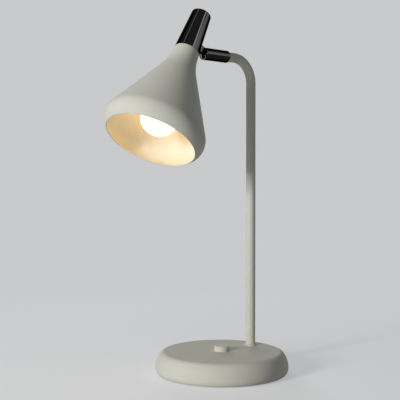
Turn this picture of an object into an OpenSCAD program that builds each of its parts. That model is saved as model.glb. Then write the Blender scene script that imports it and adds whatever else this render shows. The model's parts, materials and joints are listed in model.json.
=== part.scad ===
/* [Base] */
// Widest diameter of the base
base_d = 165; // [150:1:190]
// Height of the flat top above the table
base_h = 27; // [26:0.5:34]
// How far the rounded side reaches out past the flat top
side_run = 11.5; // [10:0.5:14]
// Height of the widest circle
widest_h = 7.2; // [6.5:0.1:8.5]
// Radius of the rounded top edge
edge_r = 8; // [6:0.5:9]
// How much the radius of the curl under the side exceeds its height
curl_over = 0.6; // [0.4:0.1:1]
// Thickness of the pressed cover
cover_wall = 1.2; // [0.8:0.1:1.5]
// Height of the cover's lip above the table
lip_h = 1; // [1:0.1:1.3]
// Thickness of the foam pad
pad_t = 1.5; // [1.4:0.1:3]
// Distance of the pad's edge from the plate's edge
pad_inset = 2.5; // [1:0.5:6]
// Thickness of the bottom plate
plate_t = 2.4; // [2:0.1:3]
// Height of the iron weight
weight_h = 12; // [11:0.5:13]
// Distance of the plate screws from the centre
plate_screw_at = 60; // [50:1:64]
// Thread diameter of the plate screws
plate_screw_d = 4; // [3:0.5:4]
// Length of the plate screws
plate_screw_l = 10; // [7:0.5:11]

/* [Cord inlet] */
// Diameter of the cord that the grommet takes
cord_d = 6; // [5:0.5:7]
// Height of the inlet's centre above the table
inlet_h = 12; // [11:0.5:13]
// Wall of the grommet round the cord
grommet_wall = 1.9; // [1.2:0.1:2.4]
// Width of the grommet's flanges
grommet_flange = 2; // [1.5:0.1:2.5]
// Depth of the grommet inside the cover
grommet_l = 8; // [6:0.5:9]
// Thickness of the grommet's flanges
flange_t = 1.2; // [1:0.1:1.5]

/* [Stem] */
// Outer diameter of the bent tube
tube_d = 12; // [11:0.5:13]
// Wall of the bent tube
tube_wall = 1.2; // [0.8:0.1:1.4]
// Distance of the stem from the back edge of the base
stem_inset = 31; // [28:0.5:34]
// Height of the arm's axis above the table
arm_z = 391.2; // [340:1:440]
// Radius of the bend, at the tube's centre line
bend_r = 30; // [24:1:36]
// Distance of the tube's open end from the stem's axis
arm_l = 61.5; // [60:0.5:66]
// Diameter of the collar at the foot
collar_d = 15; // [14:0.5:18]
// Height of the collar at the foot
collar_h = 2; // [1.5:0.1:4]
// Length of the threaded pipe inside the foot of the tube
foot_pipe_in = 30; // [20:1:40]
// Bore of both threaded pipes
pipe_bore = 6.4; // [5:0.1:6.6]
// Diameter of one lead
lead_d = 1.3; // [1:0.1:1.3]

/* [Barrel] */
// Outer diameter of the barrel
barrel_d = 15; // [14.6:0.1:17]
// Length of the barrel
barrel_l = 40.4; // [38:0.1:46]
// Length of tube inside the barrel
tube_in_barrel = 18.3; // [14:0.1:22]
// Chamfer on the barrel's rear end
rear_chamfer = 1.2; // [0.6:0.1:1.3]
// Chamfer on the barrel's front end
front_chamfer = 0.4; // [0.2:0.1:0.6]
// Thickness of the web that the swivel bolt holds
web_t = 3; // [2:0.1:3.5]
// Wall of the barrel round the fork
barrel_wall = 1.3; // [1:0.1:1.5]
// Distance of the tilt pivot behind the barrel's front end
pivot_in = 5.6; // [5.6:0.1:6.4]
// Diameter of the tilt pin
pin_d = 3; // [2.5:0.1:3.2]
// Shank diameter of the hollow swivel bolt
bolt_d = 6; // [5.6:0.1:6.4]
// Bore of the hollow swivel bolt
bolt_bore = 3.8; // [3.4:0.1:4]
// Head diameter of the swivel bolt
bolt_head_d = 10; // [9:0.1:11]
// Head height of the swivel bolt
bolt_head_h = 2.5; // [2:0.1:2.5]
// Thickness of a friction washer
washer_t = 0.4; // [0.3:0.1:0.5]
// Length of the brass bush in the end of the arm
bush_l = 11; // [9:0.5:14]

/* [Knuckle] */
// Distance from the tilt pivot to the head's axis
reach = 27.6; // [26:0.1:30]
// Height of the tilt pivot above the shade's top
rise = 16.5; // [15:0.1:18]
// Thickness of the tongue
tongue_w = 4.8; // [4.5:0.1:5]
// Height of the tongue
tongue_h = 8; // [7:0.1:9]
// Radius of the eye round the tilt pin
eye_r = 5.2; // [4.8:0.1:5.3]
// Wall of the hollow eye and tongue
eye_wall = 1; // [0.8:0.1:1]
// Tilt of the head from upright, as it stands
tilt = 31; // [0:1:75]
// Turn of the head round the arm, as it stands
swivel = 6; // [-80:1:80]

/* [Shade] */
// Widest diameter of the shade
shade_d = 120; // [110:1:130]
// Diameter of the open mouth
mouth_d = 106.6; // [96:0.2:108]
// Radius of the rounded band above the mouth
band_r = 18.3; // [14:0.1:22]
// Length of the shade along its axis
shade_len = 127; // [123:1:137]
// Diameter of the neck at its top
neck_d = 30.8; // [29:0.1:34]
// Length of the neck down to where the cone would meet it
neck_len = 19; // [15:1:23]
// Radius of the hollow curve between neck and cone
fillet_r = 70; // [40:1:90]
// Thickness of the spun sheet
shade_wall = 1; // [0.7:0.1:1.4]

/* [Cap] */
// Length of the cap
cap_len = 56; // [50:1:63]
// Diameter of the cap at its top
cap_top_d = 24.2; // [22:0.2:27]
// Thickness of the cap's sheet
cap_wall = 0.8; // [0.6:0.1:1]
// Radius of the cap's top edge
cap_edge_r = 1.6; // [1.2:0.1:3]
// Diameter of the grub screw that holds the cap
grub_d = 3; // [2.5:0.5:4]
// Length of the grub screw
grub_l = 5; // [4:0.5:6]

/* [Lampholder] */
// Outer diameter of the lampholder
holder_d = 26.8; // [22:0.2:27.4]
// Length of the lampholder's body
holder_l = 37; // [34:1:41]
// Length of the shoulder and neck above that body
holder_top_l = 20; // [18:1:24]
// Diameter of the lampholder's neck
holder_neck_d = 16; // [14:0.5:18]
// Depth of the socket
socket_depth = 21; // [19:0.5:23]
// Inner diameter of the threaded sleeve
sleeve_d = 14.3; // [14.2:0.1:14.5]
// Thickness of the threaded sleeve
sleeve_t = 0.8; // [0.5:0.1:1.2]
// Outer diameter of both threaded pipes
pipe_d = 9.5; // [9:0.1:9.6]
// Height of the nuts on the pipes
nut_h = 3.5; // [3:0.5:5]
// Width across the flats of the nuts
nut_af = 14; // [13:0.5:14]

/* [Bulb] */
// Diameter of the glass globe
bulb_d = 45; // [40:1:50]
// Distance from the globe's centre to the base of the bulb
globe_drop = 30.5; // [29:0.5:34]
// Diameter of the glass where it meets the base
bulb_neck_d = 15; // [14:0.5:18]
// Wall of the glass
glass_wall = 0.8; // [0.5:0.1:1.2]
// Diameter of the bulb's screw base
bulb_base_d = 13.9; // [13.5:0.1:14]
// Length of the bulb's screw base
bulb_base_l = 20; // [18:0.5:21]
// How far the screw base stays outside the lampholder
bulb_out = 6; // [4:0.5:8]

/* [Switch] */
// Diameter of the push button
button_d = 19; // [15:0.5:22]
// Height of the button above the base
button_h = 6.5; // [5:0.5:9]
// Rounding of the button's top edge
button_edge = 1.4; // [0.6:0.1:2]
// Travel of the button
travel = 2.5; // [1.5:0.1:3]
// Length of the switch body
switch_l = 30; // [28:1:34]
// Width of the switch body
switch_w = 24; // [20:1:26]
// Diameter of the plunger
plunger_d = 6; // [5:0.5:7]
// Wire diameter of the return spring
spring_wire = 0.8; // [0.5:0.1:1]
// Number of turns of the return spring
spring_turns = 4; // [3:1:5]
// Side of the terminal block
block_w = 16; // [14:1:18]

/* [Fits] */
// Radial gap of a turning or sliding fit
fit_gap = 0.05; // [0.02:0.01:0.1]
// Gap between pieces that don't touch
free_gap = 0.3; // [0.2:0.05:0.4]

/* [Hidden] */
$fn = 96;

cream = "#d9d6c6";
chrome = "#4c4e51";
zinc = "#9a9da0";
iron = "#4b4b4d";
brass = "#c2a24f";
black = "#232325";

// How far a cutter runs past the face that it opens
past = 1;
// How far neighbouring bands of one outline run into each other
lap = 0.5;
// How far a straight edge lies inside the arc that it runs into, so that the two cross
touch = 0.002;

// The base: circles that make the rounded side
base_r = base_d / 2;
top_r = base_r - side_run;
curl_r = widest_h + curl_over;
side_h = base_h - widest_h;
side_r = (side_run * side_run + side_h * side_h - 2 * side_h * edge_r) / (2 * (side_run - edge_r));
edge_c = [top_r, base_h - edge_r];
side_c = [base_r - side_r, widest_h];
edge_dir = (edge_c - side_c) / norm(edge_c - side_c);
lip_r = base_r - curl_r + sqrt(pow(curl_r - cover_wall, 2) - pow(widest_h - lip_h, 2));
cover_under = base_h - cover_wall;
plate_r = lip_r - free_gap;
plate_top = pad_t + plate_t;
weight_top = plate_top + weight_h;
pocket_gap = 1;
weight_r = top_r - pocket_gap;
screw_head_r = plate_screw_d;
plate_key = 2.5;

// The foot of the stem
tube_r = tube_d / 2;
tube_bore_r = tube_r - tube_wall;
pipe_r = tube_bore_r - fit_gap;
stem_back = base_d / 2 - stem_inset;
foot_x = -stem_back;
boss_wall = 2;
foot_pocket_r = 11.5;
boss_r = foot_pocket_r + boss_wall;
foot_washer_t = 1.5;
foot_washer_top = weight_top - pocket_gap;
foot_nut_h = 4.5;
foot_nut_af = 15;
pipe_out = 0.5;
foot_pipe_low = foot_washer_top - foot_washer_t - foot_nut_h - pipe_out;

// Leads lie in pairs, one each side of the middle plane
lead_r = lead_d / 2;
lead_y = lead_r + fit_gap;
lead_z = plate_top + 2.3;
lead_turn = 2.5;

// The swivel, along the arm from the stem's axis
sleeve_bore_r = barrel_d / 2 - barrel_wall;
barrel_rear = arm_l - tube_in_barrel;
web_rear = arm_l + washer_t + 2 * fit_gap;
web_front = web_rear + web_t;
barrel_front = barrel_rear + barrel_l;
pivot_s = barrel_front - pivot_in;
bolt_head_s = web_front + washer_t + 2 * fit_gap;
fork_r = sleeve_bore_r - fit_gap;
fork_rear = bolt_head_s + bolt_head_h + free_gap;
fork_front = barrel_front - front_chamfer;
slot_rear = pivot_s - eye_r - free_gap;
slot_w = tongue_w + 2 * (washer_t + 2 * fit_gap);
washer_in = 0.5;
bolt_slot = 1.2;

// The switch, up from the table
switch_top = weight_top + 2;
switch_low = plate_top + pocket_gap;
button_flange_t = 1.2;
button_flange_w = 2;
button_flange_top = cover_under - free_gap;
button_flange_low = button_flange_top - button_flange_t;
plunger_in = 8;
plunger_low = switch_top - plunger_in;
switch_pocket = [switch_l + 2 * pocket_gap, switch_w + 2 * pocket_gap];
switch_ear = 7;
switch_screw_at = switch_l / 2 + 4;
switch_screw_d = 3;
switch_screw_in = 5;
switch_head_h = 2;
driver_slot = 0.8;
spring_r = plunger_d / 2 + 2;
spring_steps = 16;
block_y = switch_pocket[1] / 2 + 4 + block_w / 2;
block_h = 11;
block_l = 18;
block_groove = [2, 3];
pole_r = 1.6;
pole_screw_r = 1.75;
pole_screw_l = 3;
channel_w = 12;
channel_h = 5;

// The head, up its axis from the plane of the mouth
shade_r = shade_d / 2;
mouth_r = mouth_d / 2;
neck_r = neck_d / 2;
band_x = shade_r - band_r;
band_c = [band_x, sqrt(band_r * band_r - pow(mouth_r - band_x, 2))];
neck_slope = (neck_d - cap_top_d) / 2 / cap_len;
corner = [neck_r + neck_slope * neck_len, shade_len - neck_len];
to_band = band_c - corner;
cone_a = atan2(to_band[1], to_band[0]) + asin(band_r / norm(to_band));
cone_n = [-sin(cone_a), cos(cone_a)];
neck_n = [1, neck_slope] / norm([1, neck_slope]);
fillet_c = corner + fillet_r * (cone_n + neck_n) / (1 + cone_n * neck_n);
pivot_t = shade_len + rise;
hub_h = rise + tongue_h / 2;
hub_top = shade_len + hub_h;
cap_top = shade_len + cap_len;
holder_roof = shade_len - shade_wall;
holder_neck_low = holder_roof - holder_top_l;
holder_shoulder = 6;
holder_low = holder_neck_low - holder_l;
pipe_in_holder = 12;
pipe_low = holder_roof - pipe_in_holder;
pipe_top = hub_top + nut_h + pipe_out;
lead_drop_x = -(nut_af / 2 + lead_d + free_gap);
socket_floor = holder_low + socket_depth;
socket_floor_t = 3;
floor_hole_y = lead_y + 1;
grub_key = 1.5;
bulb_low = holder_low - bulb_out;
bulb_taper = 3;
bulb_tip_h = 2;
globe_c = [0, bulb_low - globe_drop];
to_globe = globe_c - [bulb_neck_d / 2, bulb_low];
glass_a = atan2(to_globe[1], to_globe[0]) + asin(bulb_d / 2 / norm(to_globe));
glass_n = [-sin(glass_a), cos(glass_a)];

// Radius of the neck and cap at a height up the head's axis, less a wall
function neck_at(t, inset = 0) = (corner * neck_n - inset - t * neck_n[1]) / neck_n[0];

// Half section between two heights that ends in a bulging arc
module arc_band(c, r, low, high) {
    translate([0, low])
        square([c[0], high - low]);
    intersection() {
        translate(c)
            circle(r = r);
        translate([c[0], low])
            square([r + past, high - low]);
    }
}

// Half section between two heights that ends in a hollow arc
module hollow_band(c, r, low, high) {
    difference() {
        translate([0, low])
            square([c[0], high - low]);
        translate(c)
            circle(r = r);
    }
}

module ring(r_out, r_in, h) {
    difference() {
        cylinder(r = r_out, h = h);
        translate([0, 0, -past])
            cylinder(r = r_in, h = h + 2 * past);
    }
}

// Hexagon nut or head with two flats square to X
module hex_nut(af, r_in, h) {
    difference() {
        rotate([0, 0, 30])
            cylinder(r = af / 2 / cos(30), h = h, $fn = 6);
        translate([0, 0, -past])
            cylinder(r = r_in, h = h + 2 * past);
    }
}

// Box centred on the origin in X and Y that stands on the plane z = 0
module block(size) {
    translate([-size[0] / 2, -size[1] / 2, 0])
        cube(size);
}

// Copies on both sides of the middle plane
module pair(y) {
    for (side = [-1, 1])
        translate([0, side * y, 0])
            children();
}

// Quarter bend of round section in the XZ plane: it leaves the origin
// upwards and ends pointing along X
module bend(r_section, r_bend) {
    translate([r_bend, 0, 0])
        rotate([90, 0, 0])
            rotate([0, 0, 90])
                rotate_extrude(angle = 90)
                    translate([r_bend, 0])
                        circle(r = r_section);
}

// Arm frame: z runs along the arm from the stem's axis, -x points up
module on_arm() {
    translate([foot_x, 0, arm_z])
        rotate([0, 90, 0])
            children();
}

// The same frame, turned with the barrel
module on_barrel() {
    translate([foot_x, 0, arm_z])
        rotate([swivel, 0, 0])
            rotate([0, 90, 0])
                children();
}

// Head frame: z runs up the head's axis from the middle of the mouth
module on_head() {
    translate([foot_x + pivot_s, 0, arm_z])
        rotate([swivel, 0, 0])
            rotate([0, -tilt, 0])
                translate([reach, 0, -pivot_t])
                    children();
}

// Half section of the base, drawn in by a wall
module base_section(inset) {
    join = edge_c[1] + (edge_r - inset) * edge_dir[1];
    arc_band([base_r - curl_r, widest_h], curl_r - inset, lip_h, widest_h + lap);
    arc_band(side_c, side_r - inset, widest_h, join);
    arc_band(edge_c, edge_r - inset, join - lap, base_h - inset);
}

module base_body(inset) {
    rotate_extrude()
        base_section(inset);
}

module plate_screw_places() {
    for (a = [0, 120, 240])
        rotate([0, 0, a])
            translate([plate_screw_at, 0, 0])
                children();
}

// Places of the grommet: z points out of the base at the rear
module at_inlet() {
    translate([-base_r, 0, inlet_h])
        rotate([0, -90, 0])
            children();
}

module base_cover() {
    color(cream)
        difference() {
            base_body(0);
            base_body(cover_wall);
            translate([0, 0, base_h / 2])
                cylinder(r = button_d / 2 + free_gap, h = base_h);
            translate([foot_x, 0, base_h / 2])
                cylinder(r = pipe_r + free_gap, h = base_h);
            at_inlet()
                translate([0, 0, -base_h / 2])
                    cylinder(r = cord_d / 2 + grommet_wall + fit_gap, h = base_h);
        }
}

// Cast iron disc with a boss under the stem, pockets for the switch and
// the terminal block, and channels for the leads
module base_weight() {
    color(iron)
        difference() {
            union() {
                translate([0, 0, plate_top])
                    cylinder(r = weight_r, h = weight_h);
                translate([foot_x, 0, plate_top])
                    cylinder(r = boss_r, h = cover_under - plate_top);
            }
            translate([0, 0, plate_top - past])
                block([switch_pocket[0], switch_pocket[1], weight_h + 2 * past]);
            translate([0, block_y, plate_top - past])
                block([block_l + 2 * pocket_gap, block_w + 2 * pocket_gap, weight_h + 2 * past]);
            translate([foot_x, 0, plate_top - past])
                cylinder(r = foot_pocket_r, h = foot_washer_top - plate_top + past);
            translate([foot_x, 0, plate_top])
                cylinder(r = pipe_r + free_gap, h = base_h);
            translate([foot_x / 2, 0, plate_top - past])
                block([stem_back, channel_w, channel_h + past]);
            translate([0, block_y / 2, plate_top - past])
                block([channel_w, block_y, block_h / 2 + 2 * lead_d + past]);
            translate([-weight_r / 2, block_y, plate_top - past])
                block([weight_r, channel_w, channel_h + past]);
            for (side = [-1, 1])
                translate([side * switch_screw_at, 0, weight_top - switch_screw_in - pocket_gap])
                    cylinder(r = switch_screw_d / 2 + fit_gap, h = base_h);
            plate_screw_places()
                translate([0, 0, plate_top - past])
                    cylinder(r = plate_screw_d / 2 + fit_gap, h = plate_screw_l - plate_t + 2 * past);
        }
}

module base_plate() {
    color(zinc)
        difference() {
            translate([0, 0, pad_t])
                cylinder(r = plate_r, h = plate_t);
            plate_screw_places()
                translate([0, 0, pad_t - past]) {
                    cylinder(r = plate_screw_d / 2 + fit_gap, h = plate_t + 2 * past);
                    cylinder(r1 = screw_head_r + fit_gap + past, r2 = fit_gap, h = screw_head_r + past);
                }
        }
}

module base_pad() {
    color(black)
        difference() {
            cylinder(r = plate_r - pad_inset, h = pad_t);
            plate_screw_places()
                translate([0, 0, -past])
                    cylinder(r = screw_head_r + past, h = pad_t + 2 * past);
        }
}

// Countersunk screws with a hexagon socket
module plate_screws() {
    color(zinc)
        plate_screw_places()
            translate([0, 0, pad_t])
                difference() {
                    union() {
                        cylinder(r = plate_screw_d / 2, h = plate_screw_l);
                        cylinder(r1 = screw_head_r, r2 = 0, h = screw_head_r);
                    }
                    translate([0, 0, -past])
                        cylinder(r = plate_key / 2 / cos(30), h = plate_t / 2 + past, $fn = 6);
                }
}

// Rubber bush that follows the curve of the cover inside and outside
module cord_grommet() {
    seat_r = cord_d / 2 + grommet_wall;
    color(black)
        difference() {
            union() {
                intersection() {
                    at_inlet()
                        translate([0, 0, -grommet_l])
                            cylinder(r = seat_r + grommet_flange, h = grommet_l + flange_t);
                    difference() {
                        base_body(-flange_t);
                        base_body(0);
                    }
                }
                intersection() {
                    at_inlet()
                        translate([0, 0, -grommet_l])
                            cylinder(r = seat_r + grommet_flange, h = grommet_l);
                    difference() {
                        base_body(cover_wall);
                        base_body(cover_wall + flange_t);
                    }
                }
                at_inlet()
                    translate([0, 0, -grommet_l])
                        cylinder(r = seat_r, h = grommet_l);
            }
            at_inlet()
                translate([0, 0, -grommet_l - past])
                    cylinder(r = cord_d / 2 + fit_gap, h = 2 * grommet_l);
            at_inlet()
                translate([0, 0, flange_t / 2])
                    cylinder(r = 2 * seat_r, h = grommet_l);
        }
}

module block_pole_places() {
    for (side = [-1, 1])
        translate([side * block_l / 4, block_y, plate_top])
            children();
}

// Two-pole block: wire holes along Y, screw wells from above
module terminal_block() {
    color("#e8e4d8")
        difference() {
            translate([0, block_y, plate_top])
                block([block_l, block_w, block_h]);
            block_pole_places() {
                translate([0, block_w, block_h / 2])
                    rotate([90, 0, 0])
                        cylinder(r = pole_r, h = 2 * block_w);
                for (end = [-1, 1])
                    translate([0, end * block_w / 4, block_h / 2])
                        cylinder(r = pole_screw_r + fit_gap, h = block_h);
            }
            translate([0, block_y, plate_top + block_h - block_groove[1]])
                block([block_groove[0], block_w + 2 * past, block_h]);
        }
}

module terminal_screws() {
    color(brass)
        block_pole_places()
            for (end = [-1, 1])
                translate([0, end * block_w / 4, block_h / 2 + pole_r])
                    difference() {
                        cylinder(r = pole_screw_r, h = pole_screw_l);
                        translate([0, 0, pole_screw_l - driver_slot])
                            block([2 * block_w, driver_slot, pole_screw_l]);
                    }
}

// Leads from the stem to the switch, and from the terminal block to the switch
module base_leads() {
    run = stem_back - switch_l / 2 - lead_turn;
    color("#7a3b2a")
        pair(lead_y) {
            translate([foot_x, 0, lead_z + lead_turn]) {
                cylinder(r = lead_r, h = foot_pipe_low - lead_z - lead_turn + past);
                mirror([0, 0, 1])
                    bend(lead_r, lead_turn);
            }
            translate([foot_x + lead_turn, 0, lead_z])
                rotate([0, 90, 0])
                    cylinder(r = lead_r, h = run);
        }
    color("#2f4f7a")
        block_pole_places()
            translate([0, past - block_w / 2, block_h / 2])
                rotate([90, 0, 0])
                    cylinder(r = lead_r, h = block_y - switch_w / 2 - block_w / 2 + past);
}

module switch_body() {
    color(black)
        difference() {
            union() {
                translate([0, 0, switch_low])
                    block([switch_l, switch_w, switch_top - switch_low]);
                translate([0, 0, weight_top])
                    block([switch_l + 2 * switch_ear, switch_w / 2, switch_top - weight_top]);
            }
            translate([0, 0, plunger_low - travel - free_gap])
                cylinder(r = plunger_d / 2 + fit_gap, h = base_h);
            for (side = [-1, 1])
                translate([side * switch_screw_at, 0, weight_top - past])
                    cylinder(r = switch_screw_d / 2 + free_gap, h = base_h);
        }
}

module switch_screws() {
    color(zinc)
        for (side = [-1, 1])
            translate([side * switch_screw_at, 0, 0])
                difference() {
                    union() {
                        translate([0, 0, weight_top - switch_screw_in])
                            cylinder(r = switch_screw_d / 2, h = switch_top - weight_top + switch_screw_in);
                        translate([0, 0, switch_top])
                            cylinder(r = switch_screw_d, h = switch_head_h);
                    }
                    translate([0, 0, switch_top + switch_head_h / 2])
                        block([driver_slot, 3 * switch_screw_d, switch_head_h]);
                }
}

// Return spring: a six-sided wire swept along its helix, with closed ends
module switch_spring() {
    steps = spring_turns * spring_steps;
    low = switch_top + spring_wire / 2;
    high = button_flange_low - spring_wire / 2;
    sides = 6;
    wire_points = [
        for (i = [0 : steps])
            let (a = 360 * spring_turns * i / steps, z = low + (high - low) * i / steps)
                for (k = [0 : sides - 1])
                    let (r = spring_r + spring_wire / 2 * cos(60 * k))
                        [r * cos(a), r * sin(a), z + spring_wire / 2 * sin(60 * k)]
    ];
    wall_faces = [
        for (i = [0 : steps - 1])
            for (k = [0 : sides - 1])
                let (p = i * sides + k, q = i * sides + (k + 1) % sides)
                    each [[p, q, q + sides], [p, q + sides, p + sides]]
    ];
    end_faces = [
        for (k = [1 : sides - 2])
            each [[0, k + 1, k], [steps * sides, steps * sides + k, steps * sides + k + 1]]
    ];
    color(zinc)
        polyhedron(points = wire_points, faces = concat(wall_faces, end_faces));
}

// Moulded button with a flange that stops under the cover
module switch_button() {
    button_top = base_h + button_h;
    rim = button_d / 2 - button_edge;
    color(cream)
        union() {
            rotate_extrude() {
                translate([0, button_flange_low])
                    square([button_d / 2 + button_flange_w, button_flange_t]);
                translate([0, button_flange_low])
                    square([button_d / 2, button_top - button_edge - button_flange_low]);
                arc_band([rim, button_top - button_edge], button_edge, button_top - button_edge, button_top);
            }
            translate([0, 0, plunger_low])
                cylinder(r = plunger_d / 2, h = button_flange_low - plunger_low + past / 2);
        }
}

module stem_collar() {
    color(cream)
        translate([foot_x, 0, base_h])
            ring(collar_d / 2, pipe_r + fit_gap, collar_h);
}

// Bent tube: upright, quarter bend and arm
module stem_tube() {
    low = base_h + collar_h;
    rise_l = arm_z - bend_r - low;
    color(cream)
        difference() {
            tube_path(tube_r, low, rise_l, 0);
            tube_path(tube_bore_r, low, rise_l, past);
        }
}

module tube_path(r, low, rise_l, extra) {
    translate([foot_x, 0, low - extra])
        cylinder(r = r, h = rise_l + extra);
    translate([foot_x, 0, arm_z - bend_r])
        bend(r, bend_r);
    on_arm()
        translate([0, 0, bend_r])
            cylinder(r = r, h = arm_l - bend_r + extra);
}

module stem_pipe() {
    color(zinc)
        translate([foot_x, 0, foot_pipe_low])
            ring(pipe_r, pipe_bore / 2, base_h + collar_h + foot_pipe_in - foot_pipe_low);
}

module stem_washer() {
    color(zinc)
        translate([foot_x, 0, foot_washer_top - foot_washer_t])
            ring(foot_pocket_r - past, pipe_r + fit_gap, foot_washer_t);
}

module stem_nut() {
    color(brass)
        translate([foot_x, 0, foot_washer_top - foot_washer_t - foot_nut_h])
            hex_nut(foot_nut_af, pipe_r + fit_gap, foot_nut_h);
}

// Two leads up the stem, round the bend and out through the swivel bolt
module stem_leads() {
    low = foot_pipe_low + past + free_gap;
    color("#7a3b2a")
        pair(lead_y) {
            translate([foot_x, 0, low])
                cylinder(r = lead_r, h = arm_z - bend_r - low);
            translate([foot_x, 0, arm_z - bend_r])
                bend(lead_r, bend_r);
            on_arm()
                translate([0, 0, bend_r])
                    cylinder(r = lead_r, h = slot_rear - bend_r);
        }
}

module arm_bush() {
    color(brass)
        on_arm()
            translate([0, 0, arm_l - bush_l])
                ring(tube_bore_r - fit_gap, bolt_d / 2 + fit_gap, bush_l);
}

// Hollow bolt that the barrel turns on
module swivel_bolt() {
    shank_l = bolt_head_s - arm_l + bush_l;
    color(zinc)
        on_arm()
            translate([0, 0, arm_l - bush_l])
                difference() {
                    union() {
                        cylinder(r = bolt_d / 2, h = shank_l);
                        translate([0, 0, shank_l])
                            cylinder(r = bolt_head_d / 2, h = bolt_head_h);
                    }
                    translate([0, 0, -past])
                        cylinder(r = bolt_bore / 2, h = shank_l + bolt_head_h + 2 * past);
                    translate([0, 0, shank_l + bolt_head_h - past])
                        block([2 * bolt_head_d, bolt_slot, 2 * past]);
                }
}

module swivel_washers() {
    color(black)
        on_arm() {
            translate([0, 0, arm_l])
                ring(tube_r - washer_in, bolt_d / 2 + fit_gap, washer_t);
            translate([0, 0, bolt_head_s - washer_t])
                ring(bolt_head_d / 2 + washer_in, bolt_d / 2 + fit_gap, washer_t);
        }
}

// Slot that lets the tongue swing up out of the barrel, opened towards
// the top of the arm frame
module tongue_slot(high) {
    translate([-barrel_d, -slot_w / 2, slot_rear])
        cube([barrel_d + high, slot_w, barrel_l]);
}

module barrel_sleeve() {
    color(chrome)
        on_barrel()
            difference() {
                translate([0, 0, barrel_rear]) {
                    cylinder(r1 = barrel_d / 2 - rear_chamfer, r2 = barrel_d / 2, h = rear_chamfer);
                    translate([0, 0, rear_chamfer])
                        cylinder(r = barrel_d / 2, h = barrel_l - rear_chamfer - front_chamfer);
                    translate([0, 0, barrel_l - front_chamfer])
                        cylinder(r1 = barrel_d / 2, r2 = barrel_d / 2 - front_chamfer, h = front_chamfer);
                }
                translate([0, 0, barrel_rear - past])
                    cylinder(r = tube_r + fit_gap, h = web_rear - barrel_rear + past);
                translate([0, 0, barrel_rear])
                    cylinder(r = bolt_d / 2 + fit_gap, h = barrel_l);
                translate([0, 0, web_front])
                    cylinder(r = sleeve_bore_r, h = barrel_l);
                tongue_slot(0);
            }
}

// Forked plug that carries the tilt pin inside the barrel
module barrel_fork() {
    color(chrome)
        on_barrel()
            difference() {
                translate([0, 0, fork_rear])
                    cylinder(r = fork_r, h = fork_front - fork_rear);
                translate([0, 0, fork_rear - past])
                    cylinder(r = lead_y + lead_r + free_gap, h = barrel_l);
                tongue_slot(barrel_d);
                translate([0, barrel_d, pivot_s])
                    rotate([90, 0, 0])
                        cylinder(r = pin_d / 2 + fit_gap, h = 2 * barrel_d);
            }
}

module tilt_pin() {
    half = sqrt(pow(sleeve_bore_r, 2) - pow(pin_d / 2, 2)) - fit_gap;
    color(zinc)
        on_barrel()
            translate([0, half, pivot_s])
                rotate([90, 0, 0])
                    cylinder(r = pin_d / 2, h = 2 * half);
}

module tilt_washers() {
    color(black)
        on_barrel()
            for (side = [-1, 1])
                translate([0, side * (slot_w - washer_t) / 2 + washer_t / 2, pivot_s])
                    rotate([90, 0, 0])
                        ring(eye_r - washer_in, pin_d / 2 + fit_gap, washer_t);
}

// Half section of the shade, drawn in by a wall, from a foot to a top
module shade_section(inset, foot, top) {
    line = inset + touch;
    p_cone = band_c + (band_r - line) * cone_n;
    p_low = fillet_c - (fillet_r + inset) * cone_n;
    p_high = fillet_c - (fillet_r + inset) * neck_n;
    meet = corner - line * (cone_n + neck_n) / (1 + cone_n * neck_n);
    arc_band(band_c, band_r - inset, foot, p_cone[1] + lap);
    polygon([[0, p_cone[1]], p_cone, meet, [neck_at(top, line), top], [0, top]]);
    hollow_band(fillet_c, fillet_r + line + touch, p_low[1], p_high[1]);
}

// What is trimmed off below the band, so that the mouth's edge stands square to the sheet
module mouth_trim() {
    edge = [band_x + sqrt(pow(band_r, 2) - pow(band_c[1] - touch, 2)), touch];
    far = 2 * edge - band_c;
    polygon([[0, band_c[1]], band_c, far, [0, far[1]]]);
}

// Spun shade with an inward flange at the top of its neck
module shade() {
    color(cream)
        on_head()
            difference() {
                rotate_extrude()
                    shade_section(0, 0, shade_len);
                rotate_extrude()
                    shade_section(shade_wall, -past, holder_roof);
                rotate_extrude()
                    mouth_trim();
                translate([0, 0, shade_len - 2 * shade_wall])
                    cylinder(r = pipe_d / 2 + fit_gap, h = 4 * shade_wall);
            }
}

// Half section of the cap, drawn in by a wall
module cap_section(inset, foot) {
    c = [neck_at(cap_top - cap_edge_r, cap_edge_r), cap_top - cap_edge_r];
    line = inset + touch;
    p = c + (cap_edge_r - line) * neck_n;
    polygon([[0, foot], [neck_at(foot, line), foot], p, [0, p[1]]]);
    arc_band(c, cap_edge_r - inset, c[1] - lap, cap_top - inset);
}

module holder_cap() {
    color(chrome)
        on_head()
            difference() {
                rotate_extrude()
                    cap_section(0, shade_len);
                rotate_extrude()
                    cap_section(cap_wall, shade_len - past);
                translate([-neck_d, -tongue_w / 2 - fit_gap, shade_len - past])
                    cube([neck_d, tongue_w + 2 * fit_gap, hub_h + past + fit_gap]);
                grub_place()
                    cylinder(r = grub_d / 2 + fit_gap, h = neck_d);
            }
}

// Place of the grub screw, on the side of the cap away from the tongue's plane
module grub_place() {
    translate([0, 0, shade_len + hub_h / 2])
        rotate([90, 0, 0])
            children();
}

module cap_grub_screw() {
    tip = neck_at(shade_len + hub_h / 2) - grub_l;
    color(zinc)
        on_head()
            grub_place()
                difference() {
                    translate([0, 0, tip])
                        cylinder(r = grub_d / 2, h = grub_l);
                    translate([0, 0, tip + grub_l / 2])
                        cylinder(r = grub_key / 2 / cos(30), h = grub_l, $fn = 6);
                }
}

// Round plate or cutter on the tilt pin's axis
module eye_disc(r, w) {
    translate([-reach, w / 2, pivot_t])
        rotate([90, 0, 0])
            cylinder(r = r, h = w);
}

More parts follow.
